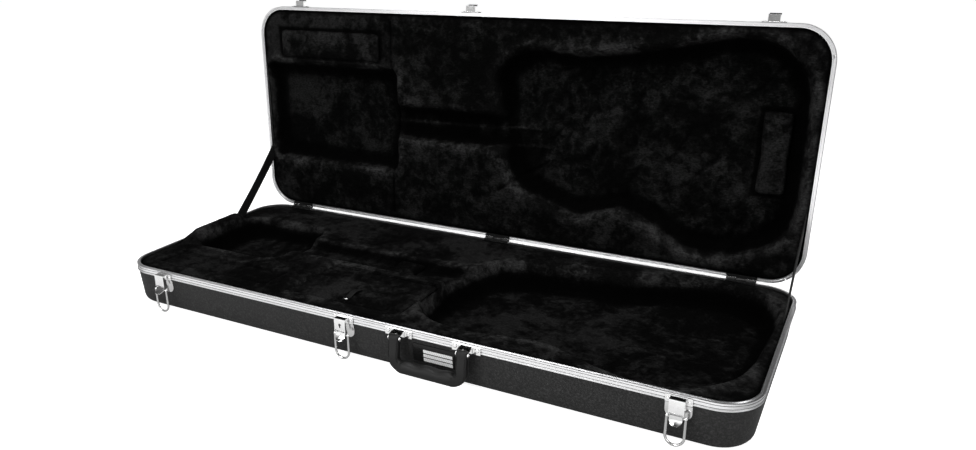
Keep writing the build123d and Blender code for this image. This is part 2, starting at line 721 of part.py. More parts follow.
# ---- nameless plate behind the handle ---------------------------------------------------------------
PLATE_MID = (HANDLE_X + 1, (39.5 - WALL_BREAK) / cos(radians(DRAFT)))
with BuildPart() as id_plate:
    with BuildSketch(FRONT_WALL.offset(0.1)):
        with Locations(PLATE_MID):
            RectangleRounded(ID_PLATE[0], ID_PLATE[1], 1.5)
    extrude(amount=ID_PLATE[2])
    chamfer(id_plate.faces().sort_by(Axis(FRONT_WALL.origin, FRONT_WALL.z_dir))[-1].edges(), 0.5)
save(id_plate.part, "id_plate")

BAR = (50, 5.4, 0.5)
BAR_PITCH = 7.2
with BuildPart() as id_plate_bars:
    with BuildSketch(FRONT_WALL.offset(0.1 + ID_PLATE[2])):
        for row in range(3):
            with Locations((PLATE_MID[0] + 7.5, PLATE_MID[1] + 4.6 - row * BAR_PITCH)):
                Rectangle(BAR[0], BAR[1])
    extrude(amount=BAR[2])
save(id_plate_bars.part, "id_plate_bars")
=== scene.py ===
"""Looks for the open guitar case: plush linings, webbing, moulded shells, satin frames and chrome fittings.

Lid linings are drawn closed, over the base, and are turned open about the lid's hinge. Metres, +Z up.
"""

import json
import math

import bmesh
import bpy
import numpy as np
from mathutils import Matrix, Vector, noise
from mathutils.bvhtree import BVHTree


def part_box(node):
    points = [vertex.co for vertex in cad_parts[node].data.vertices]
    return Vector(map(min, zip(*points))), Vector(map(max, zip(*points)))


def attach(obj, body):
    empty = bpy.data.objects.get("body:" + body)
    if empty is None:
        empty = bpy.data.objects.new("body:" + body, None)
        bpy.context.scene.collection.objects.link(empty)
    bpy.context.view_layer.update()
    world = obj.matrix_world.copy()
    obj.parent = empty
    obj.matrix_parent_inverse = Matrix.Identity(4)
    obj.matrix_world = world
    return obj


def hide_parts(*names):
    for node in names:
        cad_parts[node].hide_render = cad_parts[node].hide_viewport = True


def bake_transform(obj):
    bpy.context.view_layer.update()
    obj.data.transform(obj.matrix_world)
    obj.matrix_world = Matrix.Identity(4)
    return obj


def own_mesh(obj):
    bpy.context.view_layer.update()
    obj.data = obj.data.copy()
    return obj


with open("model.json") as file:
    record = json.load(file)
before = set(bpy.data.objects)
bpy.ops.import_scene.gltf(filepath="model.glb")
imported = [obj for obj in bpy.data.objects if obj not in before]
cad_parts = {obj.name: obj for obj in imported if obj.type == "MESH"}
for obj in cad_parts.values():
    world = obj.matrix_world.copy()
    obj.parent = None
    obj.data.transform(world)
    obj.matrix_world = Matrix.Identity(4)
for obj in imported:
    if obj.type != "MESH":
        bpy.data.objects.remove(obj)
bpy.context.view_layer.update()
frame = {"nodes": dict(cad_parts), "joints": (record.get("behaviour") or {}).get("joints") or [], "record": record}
NODES = frame["nodes"]
JOINTS = {joint["name"]: joint for joint in frame["joints"]}
MM = 0.001

HINGE = Vector(JOINTS["lid_hinge"]["pos_m"])
OPEN_ANGLE = math.radians(-JOINTS["lid_hinge"]["range_deg"][0])
CLOSE_LID = Matrix.Translation(HINGE) @ Matrix.Rotation(OPEN_ANGLE, 4, "X") @ Matrix.Translation(-HINGE)
OPEN_LID = CLOSE_LID.inverted()


# ---- camera, floor and light ---------------------------------------------------------------------
CAMERA_AT = (0.6446, -1.1575, 0.6242)
YAW, PITCH, ROLL = (math.radians(angle) for angle in (28.62, -20.70, -0.68))


def make_camera():
    """The camera at the viewing angle, level but for a slight roll."""
    ahead = Vector((-math.sin(YAW) * math.cos(PITCH), math.cos(YAW) * math.cos(PITCH), math.sin(PITCH)))
    right = Vector((math.cos(YAW), math.sin(YAW), 0))
    up = right.cross(ahead)
    rolled_right = right * math.cos(ROLL) + up * math.sin(ROLL)
    rolled_up = up * math.cos(ROLL) - right * math.sin(ROLL)
    data = bpy.data.cameras.new("camera")
    data.sensor_width = 36
    data.lens = 30.13
    data.shift_x = 0.0388
    data.shift_y = 0.0251
    camera = bpy.data.objects.new("camera", data)
    turn = Matrix((rolled_right, rolled_up, -ahead)).transposed().to_4x4()
    camera.matrix_world = Matrix.Translation(CAMERA_AT) @ turn
    bpy.context.scene.collection.objects.link(camera)
    bpy.context.scene.camera = camera


def softbox(name, place, target, size, power):
    """A rectangular light that faces a point."""
    data = bpy.data.lights.new(name, "AREA")
    data.shape = "RECTANGLE"
    data.size, data.size_y = size
    data.energy = power
    light = bpy.data.objects.new(name, data)
    light.location = place
    light.rotation_euler = (Vector(target) - Vector(place)).to_track_quat("-Z", "Y").to_euler()
    bpy.context.scene.collection.objects.link(light)


def make_studio():
    """A floor and backdrop that the camera sees as white, a dimmer banded room in reflections, and lights."""
    bpy.context.scene.view_settings.view_transform = "Standard"
    bpy.ops.mesh.primitive_plane_add(size=40, location=(0, 0, -0.0005))
    floor = bpy.context.object
    floor.name = "floor"
    tree, shader = start_material("floor_paper")
    path = node(tree, "LightPath")
    ground = node(tree, "SeparateXYZ", {0: node(tree, "TexCoord").outputs["Object"]})
    ahead = node(tree, "MapRange", {"Value": ground.outputs["Y"], "From Min": -3.0, "From Max": 1.0})
    bands = [(0.2, 0.5), (0.35, 1.0), (0.49, 1.0), (0.515, 0.4), (0.54, 1.0), (0.65, 0.95), (0.69, 0.3)]
    paper = node(tree, "Mix", {"Factor": path.outputs["Is Glossy Ray"], "A": grey(0.93)}, data_type="RGBA")
    tree.links.new(ramp(tree, ahead.outputs["Result"], bands), paper.inputs["B"])
    tree.links.new(paper.outputs["Result"], shader.inputs["Base Color"])
    shader.inputs["Roughness"].default_value = 0.9
    tree.links.new(paper.outputs["Result"], shader.inputs["Emission Color"])
    shown = node(tree, "Math", {0: path.outputs["Is Camera Ray"], 1: 0.95}, operation="MULTIPLY")
    gloss = {0: path.outputs["Is Glossy Ray"], 1: 0.3, 2: shown.outputs["Value"]}
    glow = node(tree, "Math", gloss, operation="MULTIPLY_ADD")
    tree.links.new(glow.outputs["Value"], shader.inputs["Emission Strength"])
    floor.data.materials.append(tree_material(tree))

    world = bpy.data.worlds.new("studio")
    bpy.context.scene.world = world
    world.use_nodes = True
    tree = world.node_tree
    sky = tree.nodes["Background"]
    direction = node(tree, "TexCoord")
    height = node(tree, "SeparateXYZ", {0: direction.outputs["Generated"]})
    room = ramp(tree, height.outputs["Z"], [(0, 0.95), (0.12, 0.95), (0.28, 0.4), (0.45, 0.15), (1, 0.1)])
    across = node(tree, "MapRange", {"Value": height.outputs["X"], "From Min": -1.0, "From Max": 1.0})
    panels = [(0.1, 0.5), (0.3, 1.0), (0.44, 0.25), (0.6, 1.0), (0.72, 0.15), (0.9, 1.0)]
    flags = ramp(tree, across.outputs["Result"], panels)
    seen = node(tree, "LightPath").outputs["Is Camera Ray"]
    shade = node(tree, "Mix", {"Factor": seen, "B": grey(1.0)}, data_type="RGBA")
    tree.links.new(multiply(tree, room, flags), shade.inputs["A"])
    tree.links.new(shade.outputs["Result"], sky.inputs["Color"])

    softbox("overhead", (0.2, -0.5, 2.4), (0, 0, 0.1), (2.6, 1.3), 50)
    softbox("front_fill", (-0.9, -2.4, 1.1), (-0.1, 0, 0.1), (1.4, 1.0), 24)
    softbox("right_edge", (2.4, -0.6, 1.3), (0.3, 0, 0.1), (0.9, 1.6), 16)


# ---- material helpers -----------------------------------------------------------------------------
def node(tree, kind, sockets=None, **settings):
    """A shader node with its settings, and its sockets set to a value or linked to another node's output."""
    made = tree.nodes.new("ShaderNode" + kind)
    for key, value in settings.items():
        setattr(made, key, value)
    for key, value in (sockets or {}).items():
        if isinstance(value, bpy.types.NodeSocket):
            tree.links.new(value, made.inputs[key])
        else:
            made.inputs[key].default_value = value
    return made


def start_material(name):
    """A new node material, as its tree and its shader."""
    material = bpy.data.materials.new(name)
    material.use_nodes = True
    return material.node_tree, material.node_tree.nodes["Principled BSDF"]


def tree_material(tree):
    """The material that a shader tree belongs to."""
    return next(m for m in bpy.data.materials if m.node_tree == tree)


def grey(value, tint=0.0):
    """A near-neutral colour, a little bluer where tint is above zero."""
    return (value, value, value * (1 + tint), 1)


def ramp(tree, factor, stops):
    """A grey or coloured ramp; each stop is a place and a grey value or a colour."""
    made = node(tree, "ValToRGB", {"Fac": factor})
    elements = made.color_ramp.elements
    while len(elements) < len(stops):
        elements.new(0.5)
    for element, (place, value) in zip(elements, stops):
        element.position = place
        element.color = value if isinstance(value, tuple) else grey(value)
    return made.outputs["Color"]


def multiply(tree, first, second):
    """Two colours multiplied."""
    made = node(tree, "Mix", {"Factor": 1.0}, data_type="RGBA", blend_type="MULTIPLY")
    tree.links.new(first, made.inputs["A"])
    tree.links.new(second, made.inputs["B"])
    return made.outputs["Result"]


def with_groove_shade(tree, colour, reach=4 * MM):
    """A metal's colour with painted shade: darkened by ambient occlusion where other surfaces close in on it, as
    in grooves and round rivets.
    """
    open_sky = node(tree, "AmbientOcclusion", {"Distance": reach}, samples=8).outputs["AO"]
    return multiply(tree, colour, ramp(tree, open_sky, [(0.3, 0.06), (0.52, 0.6), (0.72, 1.0)]))


def rescale(tree, factor, low, high):
    """A 0 to 1 factor turned to a range."""
    made = node(tree, "MapRange", {"Value": factor, "To Min": low, "To Max": high})
    return made.outputs["Result"]


def place(tree, stretch=(1, 1, 1), turn=(0, 0, 0)):
    """Object coordinates, stretched and turned."""
    made = node(tree, "Mapping", {"Vector": node(tree, "TexCoord").outputs["Object"]})
    made.inputs["Scale"].default_value = stretch
    made.inputs["Rotation"].default_value = turn
    return made.outputs["Vector"]


def cloud(tree, vector, per_metre, detail=3.0, rough=0.5, distort=0.0):
    """Smooth noise with about so many blobs in a metre."""
    sockets = {"Vector": vector, "Scale": per_metre, "Detail": detail}
    sockets.update({"Roughness": rough, "Distortion": distort})
    return node(tree, "TexNoise", sockets).outputs[0]


def bump(tree, height, depth, strength=1.0, under=None):
    """A bumped normal whose full height is a depth in metres, over another normal."""
    made = node(tree, "Bump", {"Strength": strength, "Distance": depth, "Height": height})
    if under is not None:
        tree.links.new(under, made.inputs["Normal"])
    return made.outputs["Normal"]


def dress(shader, **values):
    """Set a shader's plain sockets, with underscores for spaces."""
    for key, value in values.items():
        shader.inputs[key.replace("_", " ")].default_value = value


# ---- materials ------------------------------------------------------------------------------------
def make_plush():
    """Crushed black plush: lighter where the pile lies over, fine strokes of pile, painted shade in each hollow
    and painted light on crests.
    """
    tree, shader = start_material("plush")
    vector = place(tree)
    patches = cloud(tree, vector, 11, 4, 0.6, 0.5)
    tufts = cloud(tree, vector, 70, 4, 0.65, 0.4)
    strokes = cloud(tree, place(tree, (0.4, 1, 1)), 520, 3, 0.7, 0.2)
    crushed = node(tree, "Mix", {"Factor": 0.4, "A": patches, "B": tufts}, data_type="FLOAT")
    tone = ramp(tree, crushed.outputs["Result"], [(0.44, 0.0009), (0.5, 0.0027), (0.58, 0.0085)])
    stroked = multiply(tree, tone, ramp(tree, strokes, [(0.3, 0.25), (0.7, 1.9)]))
    # painted shade and painted light: the stored attribute darkens hollow places and lightens crests
    hollow = node(tree, "Attribute", attribute_name="hollow").outputs["Fac"]
    depth = node(tree, "MapRange", {"Value": hollow, "From Min": -1.0, "From Max": 1.0})
    shade = ramp(tree, depth.outputs["Result"], [(0, 2.4), (0.5, 1.0), (0.72, 0.2), (1, 0.04)])
    shaded = multiply(tree, stroked, shade)
    tree.links.new(shaded, shader.inputs["Base Color"])
    dress(shader, Roughness=0.95, Specular_IOR_Level=0.03)
    coarse = bump(tree, tufts, 2.0 * MM, 0.8)
    tree.links.new(bump(tree, strokes, 0.8 * MM, 0.8, coarse), shader.inputs["Normal"])
    return tree_material(tree)


def make_shell():
    """Black moulded plastic with a fine haircell grain and a faint speckle."""
    tree, shader = start_material("moulded_shell")
    vector = place(tree)
    grain = cloud(tree, vector, 330, 5, 0.75)
    cells = node(tree, "TexVoronoi", {"Vector": vector, "Scale": 620.0}, feature="SMOOTH_F1")
    scuff = cloud(tree, vector, 9, 5, 0.65)
    tone = ramp(tree, grain, [(0.34, 0.0065), (0.5, 0.0155), (0.68, 0.044)])
    tree.links.new(tone, shader.inputs["Base Color"])
    tree.links.new(rescale(tree, scuff, 0.42, 0.62), shader.inputs["Roughness"])
    dress(shader, Specular_IOR_Level=0.3)
    pebbles = bump(tree, cells.outputs["Distance"], 0.28 * MM, 0.9)
    tree.links.new(bump(tree, grain, 0.16 * MM, 0.8, pebbles), shader.inputs["Normal"])
    return tree_material(tree)


def make_frame_metal():
    """Satin drawn aluminium with faint lines along its length."""
    tree, shader = start_material("satin_aluminium")
    long_side = cloud(tree, place(tree, (1.2, 900, 900)), 3, 2, 0.5)
    cloudy = cloud(tree, place(tree), 26, 4, 0.6)
    tone = ramp(tree, cloudy, [(0.25, (0.9, 0.9, 0.91, 1)), (0.75, (0.97, 0.97, 0.975, 1))])
    # painted shade in the frame's grooves and steps, from ambient occlusion
    tree.links.new(with_groove_shade(tree, tone), shader.inputs["Base Color"])
    tree.links.new(rescale(tree, long_side, 0.2, 0.42), shader.inputs["Roughness"])
    dress(shader, Metallic=1.0, Anisotropic=0.35)
    tree.links.new(bump(tree, long_side, 0.03 * MM, 0.5), shader.inputs["Normal"])
    return tree_material(tree)


def make_metal(name, tone, rough, wear):
    """Plated or painted steel with faint smears, and wear in small spots."""
    tree, shader = start_material(name)
    vector = place(tree)
    smears = cloud(tree, vector, 160, 5, 0.65, 0.8)
    specks = cloud(tree, vector, 900, 2, 0.5)
    colour = ramp(tree, smears, [(0.3, grey(tone[0])), (0.7, grey(tone[1]))])
    # painted shade in grooves and round rivets, from ambient occlusion
    tree.links.new(with_groove_shade(tree, colour), shader.inputs["Base Color"])
    tree.links.new(rescale(tree, smears, rough[0], rough[1]), shader.inputs["Roughness"])
    dress(shader, Metallic=1.0)
    tree.links.new(bump(tree, specks, wear, 0.5), shader.inputs["Normal"])
    return tree_material(tree)


def make_paint(name, tone, rough, grain):
    """Painted metal or moulded rubber: a dielectric coat with a fine grain."""
    tree, shader = start_material(name)
    vector = place(tree)
    fine = cloud(tree, vector, 1100, 3, 0.6)
    broad = cloud(tree, vector, 45, 4, 0.6)
    colour = ramp(tree, fine, [(0.3, grey(tone[0])), (0.7, grey(tone[1]))])
    tree.links.new(colour, shader.inputs["Base Color"])
    tree.links.new(rescale(tree, broad, rough[0], rough[1]), shader.inputs["Roughness"])
    dress(shader, Specular_IOR_Level=0.3)
    tree.links.new(bump(tree, fine, grain, 0.7), shader.inputs["Normal"])
    return tree_material(tree)


def make_webbing():
    """Black polypropylene webbing, woven in a herringbone."""
    tree, shader = start_material("webbing")
    along = node(tree, "TexWave", {"Vector": place(tree, turn=(math.radians(45), 0, 0)), "Scale": 190.0})
    across = node(tree, "TexWave", {"Vector": place(tree, turn=(math.radians(-45), 0, 0)), "Scale": 190.0})
    along.bands_direction = across.bands_direction = "Z"
    weave = node(tree, "Math", {0: along.outputs["Fac"], 1: across.outputs["Fac"]}, operation="MAXIMUM")
    threads = cloud(tree, place(tree), 1500, 2, 0.6)
    tone = ramp(tree, weave.outputs[0], [(0.1, 0.0012), (0.9, 0.007)])
    tree.links.new(tone, shader.inputs["Base Color"])
    tree.links.new(rescale(tree, threads, 0.45, 0.7), shader.inputs["Roughness"])
    dress(shader, Specular_IOR_Level=0.2)
    woven = bump(tree, weave.outputs[0], 0.35 * MM, 0.9)
    tree.links.new(bump(tree, threads, 0.1 * MM, 0.6, woven), shader.inputs["Normal"])
    return tree_material(tree)


def make_bars():
    """Brushed aluminium bars with a diagonal hatch."""
    tree, shader = start_material("hatched_bars")
    hatch = node(tree, "TexWave", {"Vector": place(tree, turn=(0, math.radians(28), 0)), "Scale": 90.0})
    brushed = cloud(tree, place(tree, (30, 30, 900)), 3, 2, 0.5)
    tone = ramp(tree, hatch.outputs["Fac"], [(0.02, 0.7), (0.25, 0.93), (1.0, 0.96)])
    tree.links.new(tone, shader.inputs["Base Color"])
    tree.links.new(rescale(tree, brushed, 0.3, 0.5), shader.inputs["Roughness"])
    dress(shader, Metallic=0.0, Specular_IOR_Level=0.8)
    tree.links.new(bump(tree, hatch.outputs["Fac"], 0.12 * MM, 0.5), shader.inputs["Normal"])
    return tree_material(tree)


MATERIALS = {
    "plush": make_plush(),
    "shell": make_shell(),
    "frame": make_frame_metal(),
    "chrome": make_metal("chrome_plate", (0.86, 0.96), (0.06, 0.18), 0.03 * MM),
    "steel": make_metal("zinc_plate", (0.16, 0.26), (0.3, 0.45), 0.05 * MM),
    "lock": make_metal("lock_steel", (0.26, 0.36), (0.22, 0.36), 0.04 * MM),
    "hinge": make_paint("black_hinge_paint", (0.004, 0.008), (0.3, 0.42), 0.05 * MM),
    "handle": make_paint("handle_rubber", (0.003, 0.011), (0.42, 0.6), 0.14 * MM),
    "plate": make_paint("plate_lacquer", (0.008, 0.012), (0.1, 0.22), 0.01 * MM),
    "webbing": make_webbing(),
    "bars": make_bars(),
}


# ---- mesh helpers ---------------------------------------------------------------------------------
def add_piece(name, vertices, faces, slot, body, replaces=()):
    """A smooth mesh piece with its material, riding on a body and standing for CAD nodes."""
    mesh = bpy.data.meshes.new(name)
    mesh.from_pydata([tuple(v) for v in vertices], [], [tuple(f) for f in faces])
    mesh.update()
    mesh.shade_smooth()
    piece = bpy.data.objects.new(name, mesh)
    bpy.context.scene.collection.objects.link(piece)
    piece.data.materials.append(MATERIALS[slot])
    if body:
        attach(piece, body)
    if replaces:
        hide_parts(*replaces)
    return piece


def rounded_plan(x, y, half, corner):
    """Points of a rectangle's square grid, pulled round at its corners."""
    past_x = np.maximum(np.abs(x) - (half[0] - corner), 0)
    past_y = np.maximum(np.abs(y) - (half[1] - corner), 0)
    reach = np.hypot(past_x, past_y)
    shrink = np.where(reach > 0, np.maximum(past_x, past_y) / np.maximum(reach, 1e-9), 1.0)
    return (
        np.sign(x) * (np.abs(x) - past_x + past_x * shrink),
        np.sign(y) * (np.abs(y) - past_y + past_y * shrink),
    )


def blurred(heights, cells):
    """A grid of heights, softened over so many cells each way."""
    reach = int(3 * cells)
    weights = np.exp(-0.5 * (np.arange(-reach, reach + 1) / cells) ** 2)
    weights /= weights.sum()
    for axis in (0, 1):
        pads = [(reach, reach) if a == axis else (0, 0) for a in (0, 1)]
        padded = np.pad(heights, pads, mode="edge")
        heights = np.apply_along_axis(lambda line: np.convolve(line, weights, "valid"), axis, padded)
    return heights


def step(low, high, values):
    """0 below low, 1 above high, and a smooth rise between."""
    t = np.clip((values - low) / (high - low), 0, 1)
    return t * t * (3 - 2 * t)


def lumps(x, y, per_metre, octaves, seed):
    """Smooth noise over a grid, about -1 to 1."""
    flat = [
        noise.fractal(Vector((a * per_metre, b * per_metre, seed)), 0.7, 2.1, octaves)
        for a, b in zip(x.ravel(), y.ravel())
    ]
    return np.array(flat).reshape(x.shape)


def away_from_line(x, y, start, end):
    """Distance from a straight line between two points."""
    start, end = np.array(start), np.array(end)
    run = end - start
    t = np.clip(((x - start[0]) * run[0] + (y - start[1]) * run[1]) / (run @ run), 0, 1)
    return np.hypot(x - start[0] - t * run[0], y - start[1] - t * run[1])


def cad_tree(names, matrix=Matrix.Identity(4)):
    """CAD nodes as one surface to cast rays on, turned by a matrix."""
    vertices, faces = [], []
    for name in names:
        mesh = NODES[name].data
        first = len(vertices)
        vertices += [matrix @ v.co for v in mesh.vertices]
        faces += [[first + i for i in p.vertices] for p in mesh.polygons]
    return BVHTree.FromPolygons(vertices, faces)


def cast_heights(tree, x, y, start, way):
    """The height at which a vertical ray meets a CAD surface, over a grid."""
    found = np.empty(x.size)
    for i, (a, b) in enumerate(zip(x.ravel(), y.ravel())):
        hit = tree.ray_cast(Vector((a, b, start)), Vector((0, 0, way)))[0]
        found[i] = hit.z if hit else np.nan
    return found.reshape(x.shape)


def mark_painted_shade(piece, values):
    """Store the painted shade of each point of a plush piece, by how far it lies in a hollow: 1 deep in one,
    painted dark, -1 on a crest, painted light.
    """
    layer = piece.data.attributes.new("hollow", "FLOAT", "POINT")
    every = np.zeros(len(piece.data.vertices))
    every[: values.size] = np.clip(values.ravel(), -1, 1)
    layer.data.foreach_set("value", every)


# ---- plush linings --------------------------------------------------------------------------------
LINING_STEP = 3 * MM
LINING_CORNER = 51.7 * MM
EDGE_SOFTNESS = 1.7  # cells that a recess's rim is rounded over
LINING_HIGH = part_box("base_liner")[1]
LINING_HALF = (LINING_HIGH.x - 0.2 * MM, LINING_HIGH.y - 0.2 * MM)
BASE_RIM = LINING_HIGH.z
BASE_RINGS = ((60, 0.0), (16, 4.8), (5, 16.5))  # height and inset of the underside, in mm
LID_RINGS = ((88, 0.0), (121, 4.2), (130.2, 16.5))
LID_RIM = 77.6 * MM
LID_SEAMS = (((-0.238, -0.19), (-0.238, 0.19)), ((0.0, 0.115), (0.085, 0.06)))
LID_FOLDS = (((-0.236, 0.004), (0.08, -0.002)), ((-0.134, 0.040), (0.09, 0.030)))
STRAP_SLOT_X = 540 * MM  # the straps' slots in the linings lie past this
PAD_REACH = 4.7 * MM  # room left below the front lid pad's CAD solid for its swelled plush


def lining_grid():
    """The lining's grid: its square coordinates and the rounded plan they fill."""
    across = np.linspace(-LINING_HALF[0], LINING_HALF[0], round(2 * LINING_HALF[0] / LINING_STEP) + 1)
    along = np.linspace(-LINING_HALF[1], LINING_HALF[1], round(2 * LINING_HALF[1] / LINING_STEP) + 1)
    square = np.meshgrid(across, along)
    return square, rounded_plan(*square, LINING_HALF, LINING_CORNER)


def rim_distance(square):
    """Distance from the lining's outer edge."""
    return np.minimum(LINING_HALF[0] - np.abs(square[0]), LINING_HALF[1] - np.abs(square[1]))


def painted_shade_of_lining(heights, edge):
    """How hollow each point of a lining is, as painted shade and painted light: steep walls, the feet of them and
    the outer edge are painted dark, crests are painted light.
    """
    below = blurred(heights, 4) - heights
    wall = np.hypot(*np.gradient(heights, LINING_STEP))
    rim = 1 - step(0, 9 * MM, edge)
    return np.where(below > 0, below / (5.5 * MM), below / (4 * MM)) + 0.6 * step(0.4, 1.4, wall) + 0.5 * rim


def close_lining(square, plan, heights, rings, flip):
    """Vertices and faces of a closed block: the soft surface and a tub-shaped underside."""
    rows, columns = heights.shape
    index = np.arange(rows * columns).reshape(rows, columns)
    vertices = list(np.stack([plan[0].ravel(), plan[1].ravel(), heights.ravel()], axis=1))
    quads = np.stack([index[:-1, :-1], index[:-1, 1:], index[1:, 1:], index[1:, :-1]], axis=-1).reshape(-1, 4)
    faces = [list(q) for q in quads]
    loop = list(index[0, :-1]) + list(index[:-1, -1]) + list(index[-1, :0:-1]) + list(index[:0:-1, 0])
    edge = np.array([(square[0].ravel()[i], square[1].ravel()[i]) for i in loop])
    above = loop
    for height, inset in rings:
        half = (LINING_HALF[0] - inset * MM, LINING_HALF[1] - inset * MM)
        x, y = rounded_plan(
            edge[:, 0] * half[0] / LINING_HALF[0],
            edge[:, 1] * half[1] / LINING_HALF[1],
            half,
            LINING_CORNER - inset * MM,
        )
        below = [len(vertices) + i for i in range(len(loop))]
        vertices += [(a, b, height * MM) for a, b in zip(x, y)]
        for i in range(len(loop)):
            j = (i + 1) % len(loop)
            faces.append([above[j], above[i], below[i], below[j]])
        above = below
    faces.append(above[::-1])
    if flip:
        faces = [face[::-1] for face in faces]
    return vertices, faces


def base_lining():
    """The plush over the base: recesses for the body, neck and headstock, a well, and a mound at one end."""
    square, (x, y) = lining_grid()
    raw = cast_heights(cad_tree(["base_liner"]), x, y, 0.3, -1)
    raw = np.where(np.isnan(raw), BASE_RIM, raw)
    slots = (np.abs(x) > STRAP_SLOT_X) & (raw < BASE_RIM - 5 * MM)
    raw[slots] = BASE_RIM
    low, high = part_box("compartment_lid")
    well = (x > low.x - 1.5 * MM) & (x < high.x + 1.5 * MM) & (y > low.y - 1.5 * MM) & (y < high.y + 1.5 * MM)
    soft = blurred(np.where(well, BASE_RIM, raw), EDGE_SOFTNESS)
    depth = BASE_RIM - soft
    slope = np.hypot(*np.gradient(soft, LINING_STEP))
    edge = rim_distance(square)
    on_top = 1 - step(0.5 * MM, 8 * MM, depth)
    near_rim = blurred((slope > 0.25).astype(float), 3)
    puff = 2.4 * MM * step(0, 14 * MM, edge) * on_top
    roll = 2.0 * MM * near_rim * on_top
    pad_low, pad_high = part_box("end_pad")
    front_fall = 1 - step(0, 64 * MM, pad_low.y + 35 * MM - y)
    back_fall = 1 - step(0, 32 * MM, y - pad_high.y + 16 * MM)
    end_fall = 1 - step(pad_high.x - 20 * MM, pad_high.x + 6 * MM, x)
    mound = (pad_high.z - BASE_RIM - 2.5 * MM) * front_fall * back_fall * end_fall
    mound *= step(0, 10 * MM, edge) * 0.35 + 0.65
    pile = 0.9 * MM * lumps(x, y, 16, 3, 3.1) + 0.45 * MM * lumps(x, y, 70, 3, 7.7)
    creases = 1.6 * MM * near_rim * lumps(x, y, 34, 2, 12.4)
    heights = soft + puff + roll + mound + (pile + creases) * step(0, 8 * MM, edge)
    heights = np.where(well, np.where(raw < BASE_RIM - 8 * MM, raw, raw - 1 * MM), heights)
    low, high = closed_box("lid_pad_front")
    ceiling = low.z - PAD_REACH + 20 * MM * step(0, 12 * MM, outside(low, high, x, y))
    heights = np.minimum(heights, ceiling)
    vertices, faces = close_lining(square, (x, y), heights, BASE_RINGS, False)
    piece = add_piece("base_plush", vertices, faces, "plush", "base", ("base_liner", "end_pad"))
    # painted shade in the base lining's recesses, painted light on its crests
    mark_painted_shade(piece, painted_shade_of_lining(heights, edge))
    return heights


def closed_box(name):
    """The corners of a lid node's box with the lid shut."""
    points = np.array([CLOSE_LID @ v.co for v in NODES[name].data.vertices])
    return Vector(points.min(axis=0)), Vector(points.max(axis=0))


def outside(low, high, x, y):
    """How far each point lies outside a box's plan, below zero inside it."""
    return np.maximum(np.maximum(low.x - x, x - high.x), np.maximum(low.y - y, y - high.y))


def lid_lining(below):
    """The plush in the lid: recesses, seams, folds at the neck, and dents where the base's mound meets it."""
    square, (x, y) = lining_grid()
    raw = cast_heights(cad_tree(["lid_liner"], CLOSE_LID), x, y, 0.0, 1)
    raw = np.where(np.isnan(raw), LID_RIM, raw)
    slots = (np.abs(x) > STRAP_SLOT_X) & (y > 75 * MM) & (raw > LID_RIM + 5 * MM)
    raw[slots] = LID_RIM
    soft = blurred(raw, EDGE_SOFTNESS + 0.5)
    depth = soft - LID_RIM
    slope = np.hypot(*np.gradient(soft, LINING_STEP))
    edge = rim_distance(square)
    on_top = 1 - step(0.5 * MM, 8 * MM, depth)
    near_rim = blurred((slope > 0.25).astype(float), 3)
    puff = 1.6 * MM * step(0, 14 * MM, edge) * on_top
    roll = 1.2 * MM * near_rim * on_top
    seams = np.minimum(*(away_from_line(x, y, *line) for line in LID_SEAMS))
    groove = 3.5 * MM * np.exp(-((seams / (3.2 * MM)) ** 2))
    under = np.zeros(x.shape)
    # the ring round each lid pad, which gets painted shade
    moat = np.zeros(x.shape)
    for name in ("lid_pad_front", "lid_pad_end"):
        low, high = closed_box(name)
        out = outside(low, high, x, y)
        under = np.maximum(under, 1 - step(0, 3 * MM, out))
        moat = np.maximum(moat, np.exp(-(((out - 1 * MM) / (5 * MM)) ** 2)))
    pile = 1.1 * MM * lumps(x, y, 13, 3, 23.1) + 0.5 * MM * lumps(x, y, 70, 3, 27.7)
    creases = 1.8 * MM * near_rim * lumps(x, y, 30, 2, 32.4)
    sunk = step(10 * MM, 30 * MM, depth) * step(0, 0.05, x)
    rucks = sunk * np.exp(-((lumps(x, y + 0.35 * x, 8, 3, 41.5) / 0.12) ** 2))
    creases += 2.2 * MM * rucks
    folds = np.minimum(*(away_from_line(x, y, *line) for line in LID_FOLDS))
    folds = np.exp(-((folds / (2.5 * MM)) ** 2))
    creases -= 2 * MM * folds
    free = 1 - under
    heights = soft + groove - (puff + roll) * free + (pile + creases) * step(0, 8 * MM, edge) * free
    heights = np.maximum(heights, below + 0.4 * MM)
    vertices, faces = close_lining(square, (x, y), heights, LID_RINGS, True)
    opened = [OPEN_LID @ Vector(v) for v in vertices]
    piece = add_piece("lid_plush", opened, faces, "plush", "lid", ("lid_liner",))
    # painted shade in the lid lining's recesses and in a ring round the lid pads, painted light on its crests and
    # folds
    mark_painted_shade(piece, painted_shade_of_lining(-heights, edge) + 0.8 * moat - 0.8 * folds)
    return piece


